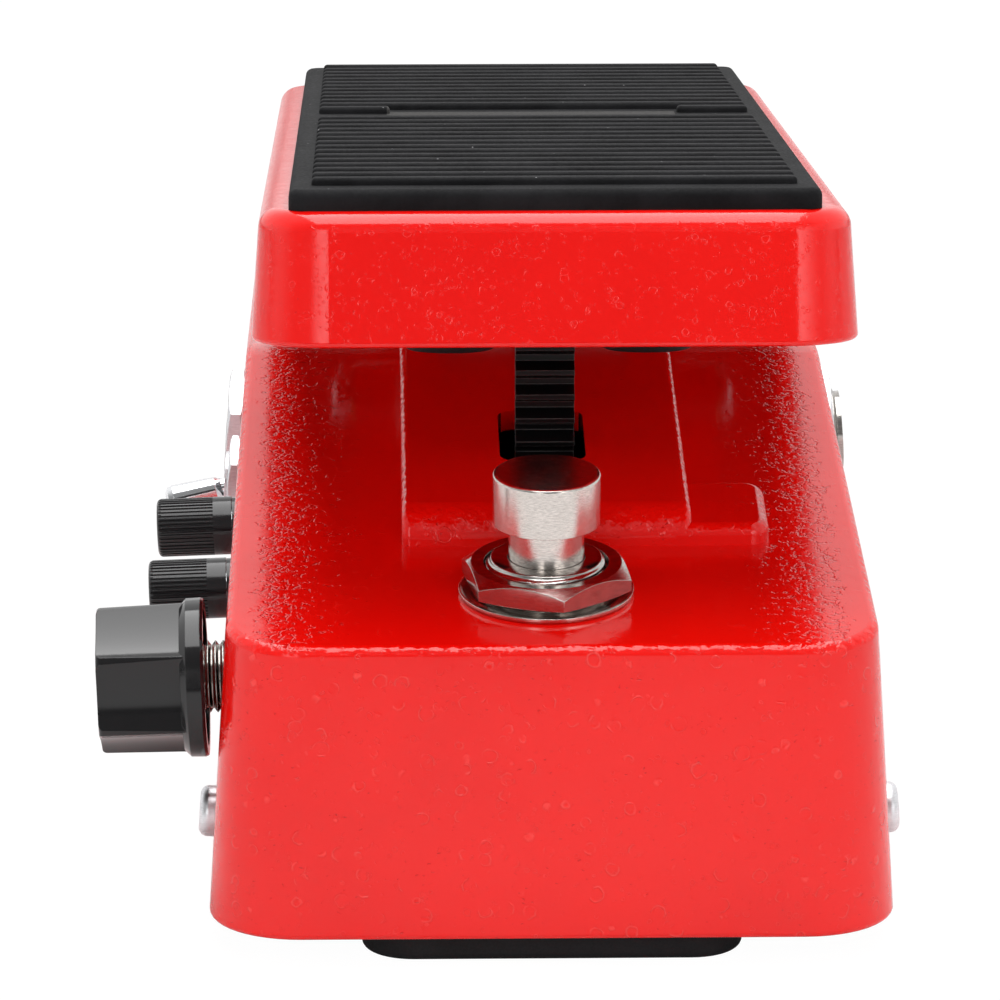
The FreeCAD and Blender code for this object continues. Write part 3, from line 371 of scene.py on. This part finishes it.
def moulded_plastic(name, dark, light, roughness, grain_depth, edge_mm=0.12):
    """Moulded plastic with a faint grain and slow changes of tone."""
    finish = Finish(name)
    tone = finish.noise(0.3, 3.0)
    grain = finish.noise(5.0, 3.0, 0.6)
    smears = finish.noise(0.9, 3.0, 0.6)
    finish.set(Base_Color=finish.mix(tone, dark, light),
               Roughness=finish.ramp(smears, 0.3, 0.7, roughness, roughness * 1.35),
               Normal=finish.bump(grain, depth_mm=grain_depth, below=finish.soft_edge(edge_mm)))
    return finish.material


# ---- metals -----------------------------------------------------------------------------------
def turned_metal(name, dark, light, roughness, grain_depth, edge_mm=0.1, grain=(1.1, 1.1, 16.0)):
    """Bright metal with fine tool lines across its axis, slightly clouded."""
    finish = Finish(name)
    lines = finish.noise(1.0, 3.0, 0.7, place=finish.stretched(*grain))
    clouds = finish.noise(0.35, 2.0, 0.5)
    tone = finish.calc("MULTIPLY", finish.ramp(lines, 0.35, 0.65), finish.ramp(clouds, 0.3, 0.7, 0.8, 1.0))
    rough = finish.ramp(clouds, 0.3, 0.75, roughness, roughness * 1.3)
    finish.set(Base_Color=finish.mix(tone, dark, light), Metallic=1.0, Roughness=rough,
               Normal=finish.bump(lines, depth_mm=grain_depth, below=finish.soft_edge(edge_mm)))
    return finish.material


def blackened_steel():
    """Black-coated steel; the edges of the teeth are lighter, partly as wear of the thin coat and partly as
    painted highlight.
    """
    finish = Finish("blackened_steel")
    grain = finish.noise(3.0, 4.0, 0.6)
    scratches = finish.noise(1.0, 2.0, 0.7, place=finish.stretched(0.5, 9.0, 9.0))
    colour = finish.mix(grain, STEEL_COAT_DARK, STEEL_COAT_PALE)
    colour = finish.mix(finish.ramp(scratches, 0.66, 0.8, 0.0, 0.3), colour, STEEL_SCRATCH)
    worn_and_glinting_edges = finish.ramp(finish.vector("DOT_PRODUCT", finish.soft_edge(0.12), finish.normal()), 0.985, 0.9)
    # Painted highlight together with wear: the edges of the teeth are mixed towards bare steel.
    colour = finish.mix(finish.calc("MULTIPLY", worn_and_glinting_edges, 0.7), colour, STEEL_EDGE_WEAR_AND_GLINT)
    relief = finish.bump(grain, depth_mm=0.006, below=finish.soft_edge(0.12))
    finish.set(Base_Color=colour, Roughness=finish.ramp(grain, 0.3, 0.7, 0.28, 0.45),
               Specular_IOR_Level=0.25, Normal=relief)
    return finish.material


def board_laminate():
    """Green solder mask over woven glass."""
    finish = Finish("board_laminate")
    strands = [finish.calc("SINE", finish.calc("MULTIPLY", finish.part(finish.place, axis), 9.0))
               for axis in (0, 1)]
    tone = finish.noise(0.1, 2.0)
    finish.set(Base_Color=finish.mix(tone, BOARD_DARK, BOARD_PALE), Roughness=0.3,
               Normal=finish.bump(finish.calc("MULTIPLY", *strands), depth_mm=0.004))
    return finish.material


def make_finishes():
    return {
        "case_paint": powder_red("case_paint", pit_depth=0.08, shade_and_highlight_share=0.45, ring_scale=0.50,
                                 skin_mask=case_skin_mask, ripple_mask=roof_edge_mask,
                                 slot_shade_mask=slot_mask),
        "treadle_paint": powder_red("treadle_paint", pit_depth=0.018, shade_and_highlight_share=0.08,
                                    ring_scale=0.95, skin_mask=treadle_skin_mask),
        "dusty_rubber": dusty_rubber(),
        "plain_rubber": plain_rubber(),
        "nickel": turned_metal("nickel", NICKEL_DARK, NICKEL_PALE, roughness=0.12, grain_depth=0.0012),
        "rubbed_nickel": turned_metal("rubbed_nickel", (0.50, 0.46, 0.43), (0.86, 0.80, 0.75),
                                      roughness=0.17, grain_depth=0.0016, grain=(2.0, 2.0, 26.0)),
        "chrome": turned_metal("chrome", (0.80, 0.81, 0.83), (0.92, 0.93, 0.94),
                               roughness=0.04, grain_depth=0.0003),
        "bright_zinc": turned_metal("bright_zinc", (0.68, 0.68, 0.70), (0.84, 0.84, 0.86),
                                    roughness=0.34, grain_depth=0.002),
        "steel": turned_metal("steel", (0.42, 0.42, 0.43), (0.62, 0.62, 0.64),
                              roughness=0.22, grain_depth=0.002),
        "aluminium": turned_metal("aluminium", (0.62, 0.63, 0.65), (0.80, 0.81, 0.83),
                                  roughness=0.3, grain_depth=0.003),
        "bronze": turned_metal("bronze", (0.34, 0.19, 0.08), (0.55, 0.33, 0.15),
                               roughness=0.28, grain_depth=0.003),
        "black_metal": blackened_steel(),
        "satin_black": moulded_plastic("satin_black", (0.004, 0.004, 0.0045), (0.008, 0.008, 0.009),
                                       roughness=0.14, grain_depth=0.0008, edge_mm=0.04),
        "gloss_black": moulded_plastic("gloss_black", (0.003, 0.003, 0.0035), (0.006, 0.0055, 0.006),
                                       roughness=0.08, grain_depth=0.0006),
        "white_acetal": moulded_plastic("white_acetal", (0.68, 0.67, 0.63), (0.80, 0.79, 0.75),
                                        roughness=0.35, grain_depth=0.003),
        "board": board_laminate(),
    }


FINISH_OF = {
    "case_paint": ["case"],
    "treadle_paint": ["treadle"],
    "dusty_rubber": ["tread_rubber"],
    "plain_rubber": ["base_mat", "toe_bumpers", "heel_bumpers"],
    "rubbed_nickel": ["footswitch_button", "footswitch_washer"],
    "nickel": ["footswitch_bushing", "footswitch_nut", "footswitch_lock_nut",
               "volume_pot", "sensor_nut", "power_pin", "output_jack", "input_jack"],
    "chrome": ["toggle_lever", "volume_shaft", "tone_shaft", "level_shaft"],
    "bright_zinc": ["jack_nuts", "jack_washer", "side_screws", "toggle_nut", "toggle_body"],
    "steel": ["base_plate", "hinge_pin", "retaining_rings", "sensor_shaft", "board_screws",
              "sector_screws", "footswitch_spring", "jack_lugs", "filter_inductor"],
    "aluminium": ["capacitors", "sensor_body"],
    "bronze": ["hinge_bushings"],
    "black_metal": ["toothed_sector"],
    "satin_black": ["tone_knob", "level_knob", "tone_pot", "level_pot", "amplifier_chips",
                    "power_jack", "power_leads", "footswitch_body"],
    "gloss_black": ["volume_knob"],
    "white_acetal": ["pinion", "friction_washers"],
    "board": ["circuit_board"],
}


def paint_nodes(finishes):
    for finish_name, node_names in FINISH_OF.items():
        for node_name in node_names:
            slots = nodes[node_name].data.materials
            slots.clear()
            slots.append(finishes[finish_name])


# ---- studio -----------------------------------------------------------------------------------
class Sky:
    """The node graph of the studio's surroundings, seen from the object."""

    def __init__(self, world):
        self.tree = world.node_tree
        room = self.tree.nodes.new("ShaderNodeTexCoord")
        self.direction = self.tree.nodes.new("ShaderNodeSeparateXYZ")
        self.tree.links.new(room.outputs["Generated"], self.direction.inputs[0])
        self.ray = self.tree.nodes.new("ShaderNodeLightPath")

    def axis(self, name):
        return self.direction.outputs[name]

    def ramp(self, value, low, high, start=0.0, end=1.0):
        node = self.tree.nodes.new("ShaderNodeMapRange")
        node.interpolation_type = "SMOOTHSTEP"
        self.tree.links.new(value, node.inputs[0])
        for socket, number in zip(node.inputs[1:5], (low, high, start, end)):
            socket.default_value = number
        return node.outputs[0]

    def calc(self, operation, first, second):
        node = self.tree.nodes.new("ShaderNodeMath")
        node.operation = operation
        for socket, value in zip(node.inputs, (first, second)):
            if isinstance(value, bpy.types.NodeSocket):
                self.tree.links.new(value, socket)
            else:
                socket.default_value = value
        return node.outputs[0]

    def panel(self, side, inner, fade, strength):
        """Tall soft panel in front, to one side; it fades away from the camera's line."""
        aside = self.calc("MULTIPLY", self.axis("X"), side)
        shape = self.ramp(aside, inner, inner + 0.03)
        shape = self.calc("MULTIPLY", shape, self.ramp(aside, inner, fade, 1.0, 0.0))
        shape = self.calc("MULTIPLY", shape, self.ramp(self.axis("Y"), 0.1, -0.2))
        shape = self.calc("MULTIPLY", shape, self.ramp(self.axis("Z"), 0.55, 0.35))
        return self.calc("MULTIPLY", shape, strength)


def studio_world():
    """White to the camera; to the object a bright room, dim in front but for two soft panels."""
    world = bpy.data.worlds.new("studio")
    bpy.context.scene.world = world
    world.use_nodes = True
    sky = Sky(world)
    room = sky.ramp(sky.axis("Y"), -0.9, 0.3, ROOM_IN_FRONT, 1.0)
    mirrored = sky.calc("ADD", sky.panel(side=-1.0, inner=0.14, fade=0.52, strength=3.0),
                        sky.panel(side=1.0, inner=0.40, fade=0.95, strength=2.8))
    mirrored = sky.calc("MULTIPLY", mirrored, sky.ray.outputs["Is Glossy Ray"])
    room = sky.calc("ADD", room, mirrored)
    cut = sky.calc("MULTIPLY", sky.ray.outputs["Is Diffuse Ray"], DIFFUSE_CUT)
    dimmed = sky.calc("SUBTRACT", 1.0, cut)
    room = sky.calc("MULTIPLY", room, dimmed)
    unseen = sky.calc("SUBTRACT", 1.0, sky.ray.outputs["Is Camera Ray"])
    backdrop = sky.calc("MULTIPLY", sky.ray.outputs["Is Camera Ray"], BACKDROP)
    strength = sky.calc("ADD", sky.calc("MULTIPLY", room, unseen), backdrop)
    sky.tree.links.new(strength, sky.tree.nodes["Background"].inputs["Strength"])
    sky.tree.nodes["Background"].inputs["Color"].default_value = WHITE


def softbox(name, place, aim, width, height, radiance, mirrored=True):
    """Area light of the given radiance; only a mirrored one shows in glossy surfaces."""
    data = bpy.data.lights.new(name, "AREA")
    data.shape = "RECTANGLE"
    data.size = width
    data.size_y = height
    data.energy = radiance * math.pi * width * height
    light = bpy.data.objects.new(name, data)
    bpy.context.scene.collection.objects.link(light)
    light.location = place
    light.rotation_euler = (Vector(aim) - Vector(place)).to_track_quat("-Z", "Y").to_euler()
    light.visible_glossy = mirrored
    light.visible_camera = False


def studio_lights():
    middle = (0.0, -0.06, 0.04)
    softbox("overhead", (0.0, 0.02, 0.75), (0.0, 0.02, 0.0), width=0.55, height=1.0, radiance=4.0)
    softbox("front_left", (-0.50, -1.15, 0.30), middle, width=0.85, height=0.7, radiance=1.35,
            mirrored=False)
    softbox("front_fill", (0.20, -1.15, 0.70), middle, width=1.2, height=0.6, radiance=3.4,
            mirrored=False)
    for name, side in (("side_left", -1), ("side_right", 1)):
        softbox(name, (side * 1.1, 0.0, 0.25), middle, width=0.9, height=0.6, radiance=1.8,
                mirrored=False)


def floor_white():
    """Matt white, darker towards the camera; most of what the camera itself sees is an even glow."""
    material = bpy.data.materials.new("floor_white")
    material.use_nodes = True
    tree = material.node_tree
    table = tree.nodes["Principled BSDF"]
    place = tree.nodes.new("ShaderNodeTexCoord")
    split = tree.nodes.new("ShaderNodeSeparateXYZ")
    tree.links.new(place.outputs["Object"], split.inputs[0])
    fade = tree.nodes.new("ShaderNodeMapRange")
    fade.interpolation_type = "SMOOTHSTEP"
    for socket, value in zip(fade.inputs[1:5], (*TABLE_FADE, TABLE_FAR_ALBEDO, TABLE_ALBEDO)):
        socket.default_value = value
    tree.links.new(split.outputs["Y"], fade.inputs[0])
    tree.links.new(fade.outputs[0], table.inputs["Base Color"])
    table.inputs["Roughness"].default_value = 0.9
    glow = tree.nodes.new("ShaderNodeEmission")
    glow.inputs["Strength"].default_value = BACKDROP
    seen = tree.nodes.new("ShaderNodeLightPath")
    share = tree.nodes.new("ShaderNodeMath")
    share.operation = "MULTIPLY"
    share.inputs[1].default_value = TABLE_GLOW_SHARE
    tree.links.new(seen.outputs["Is Camera Ray"], share.inputs[0])
    mixed = tree.nodes.new("ShaderNodeMixShader")
    tree.links.new(share.outputs[0], mixed.inputs[0])
    tree.links.new(table.outputs[0], mixed.inputs[1])
    tree.links.new(glow.outputs[0], mixed.inputs[2])
    tree.links.new(mixed.outputs[0], tree.nodes["Material Output"].inputs["Surface"])
    return material


def studio_floor():
    """Pale table that the camera sees as clean white and that lights the object from below."""
    mesh = bpy.data.meshes.new("floor")
    reach = 3.0
    under = -0.00005
    corners = [(-reach, -reach, under), (reach, -reach, under), (reach, reach, under), (-reach, reach, under)]
    mesh.from_pydata(corners, [], [(0, 1, 2, 3)])
    mesh.materials.append(floor_white())
    floor = bpy.data.objects.new("floor", mesh)
    bpy.context.scene.collection.objects.link(floor)


def studio_camera():
    data = bpy.data.cameras.new("camera")
    data.lens = CAMERA_LENS
    data.sensor_width = CAMERA_SENSOR
    data.clip_start = 0.01
    camera = bpy.data.objects.new("camera", data)
    bpy.context.scene.collection.objects.link(camera)
    camera.location = CAMERA_PLACE
    camera.rotation_euler = [math.radians(angle) for angle in CAMERA_TURN]
    bpy.context.scene.camera = camera


# ---- pieces built here ------------------------------------------------------------------------
def add_skin(shape, loops):
    """Closed skin through loops of equal length, from the lowest loop to the highest."""
    rows = [[shape.verts.new(point) for point in loop] for loop in loops]
    for low, high in zip(rows, rows[1:]):
        for index in range(len(low)):
            following = (index + 1) % len(low)
            shape.faces.new((low[index], low[following], high[following], high[index]))
    shape.faces.new(list(reversed(rows[0])))
    shape.faces.new(rows[-1])


def finish_piece(name, shape, place, smooth_angle):
    """Turns a shape in millimetres into a placed object, with edges sharper than the angle kept."""
    bmesh.ops.transform(shape, matrix=Matrix.Scale(MM, 4) @ place, verts=shape.verts)
    bmesh.ops.recalc_face_normals(shape, faces=shape.faces)
    mesh = bpy.data.meshes.new(name)
    shape.to_mesh(mesh)
    shape.free()
    for polygon in mesh.polygons:
        polygon.use_smooth = True
    mesh.set_sharp_from_angle(angle=math.radians(smooth_angle))
    piece = bpy.data.objects.new(name, mesh)
    bpy.context.scene.collection.objects.link(piece)
    return piece


def rounded_rectangle(x_half, y0, y1, radius, z, steps=6):
    """Corner points of a level rectangle with round corners, in order around it."""
    points = []
    corners = ((1, y1, 0), (-1, y1, 90), (-1, y0, 180), (1, y0, 270))
    for side, y, start in corners:
        inward = -1 if y == y1 else 1
        for step in range(steps + 1):
            angle = math.radians(start + 90 * step / steps)
            points.append((side * (x_half - radius) + radius * math.cos(angle),
                           y + inward * radius + radius * math.sin(angle), z))
    return points


def rounded_slab(x_half, y0, y1, corner, low, high, edge, steps=5):
    """Loops of a slab whose top edge is rounded; corner is the plan radius."""
    loops = [rounded_rectangle(x_half, y0, y1, corner, low)]
    for step in range(steps + 1):
        angle = math.radians(90 * step / steps)
        inset = edge * (1 - math.cos(angle))
        loops.append(rounded_rectangle(x_half - inset, y0 + inset, y1 - inset, corner - inset,
                                       high - edge * (1 - math.sin(angle))))
    return loops


def tread_mat(rubber):
    """Ribbed mat: a sheet with a rounded edge and one soft-edged bar for each rib."""
    shape = bmesh.new()
    add_skin(shape, rounded_slab(MAT_HALF_WIDTH_MM, MAT_TOE_MM, MAT_HEEL_MM, MAT_CORNER_MM,
                                 MAT_BASE_MM, MAT_TOP_MM, MAT_EDGE_MM))
    sunk = MAT_TOP_MM - RIB_ROOT_MM
    crest = MAT_TOP_MM + RIB_HEIGHT_MM
    for start in RIB_STARTS_MM:
        add_skin(shape, rounded_slab(RIB_HALF_LENGTH_MM, start, start + RIB_WIDTH_MM, RIB_CORNER_MM,
                                     sunk, crest, RIB_EDGE_MM))
    for side in (-1, 1):
        bar = rounded_slab((RIB_HALF_LENGTH_MM - BLANK_HALF_WIDTH_MM) / 2, SHORT_RIB_START_MM,
                           SHORT_RIB_START_MM + RIB_WIDTH_MM, RIB_CORNER_MM, sunk, crest, RIB_EDGE_MM)
        middle = side * (RIB_HALF_LENGTH_MM + BLANK_HALF_WIDTH_MM) / 2
        add_skin(shape, [[(x + middle, y, z) for x, y, z in loop] for loop in bar])
    place = Matrix.Translation(HINGE_MM) @ Matrix.Rotation(math.radians(TREADLE_TILT), 4, "X")
    mat = finish_piece("tread_mat", shape, place, 35.0)
    mat.data.materials.append(rubber)
    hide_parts("tread_rubber")
    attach(mat, "treadle")


def thread_reach(turns):
    """How far out of its groove a thread flank stands, from 0 to 1, at a number of turns."""
    phase = turns % 1.0
    return max(0.0, min(1.0, 2.6 * min(phase, 1.0 - phase) - 0.15))


def bushing_thread(metal):
    """Threaded footswitch bushing with a true helical thread, a lip and a bore."""
    around = 72
    rows = 92
    turns = [index / around for index in range(around)]

    def ring(radius, z):
        return [(radius * math.cos(2 * math.pi * turn), radius * math.sin(2 * math.pi * turn), z)
                for turn in turns]

    def thread_ring(z):
        lead_in = min(1.0, (BUSHING_HEAD_MM - z) / BUSHING_LEAD_MM)
        points = []
        for turn in turns:
            reach = lead_in * thread_reach(z / BUSHING_PITCH_MM - turn)
            radius = BUSHING_RADIUS_MM - BUSHING_GROOVE_MM * (1 - reach)
            points.append((radius * math.cos(2 * math.pi * turn), radius * math.sin(2 * math.pi * turn), z))
        return points

    height = BUSHING_HEAD_MM - BUSHING_FOOT_MM
    loops = [ring(BUSHING_BORE_MM, BUSHING_RIM_MM), ring(BUSHING_BORE_MM, BUSHING_FOOT_MM)]
    loops += [thread_ring(BUSHING_FOOT_MM + height * row / rows) for row in range(rows + 1)]
    loops += [ring(radius, z) for radius, z in BUSHING_LIP_MM]
    shape = bmesh.new()
    rings = [[shape.verts.new(point) for point in loop] for loop in loops]
    for low, high in zip(rings, rings[1:] + rings[:1]):
        for index in range(around):
            following = (index + 1) % around
            shape.faces.new((low[index], low[following], high[following], high[index]))
    place = Matrix.Translation(FOOTSWITCH_MM) @ Matrix.Rotation(math.radians(ROOF_SLOPE), 4, "X")
    bushing = finish_piece("bushing_thread", shape, place, 50.0)
    bushing.data.materials.append(metal)
    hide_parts("footswitch_bushing")
    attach(bushing, "case")


bpy.context.scene.view_settings.view_transform = "Standard"
finishes = make_finishes()
paint_nodes(finishes)
tread_mat(finishes["dusty_rubber"])
bushing_thread(finishes["nickel"])
studio_world()
studio_lights()
studio_floor()
studio_camera()
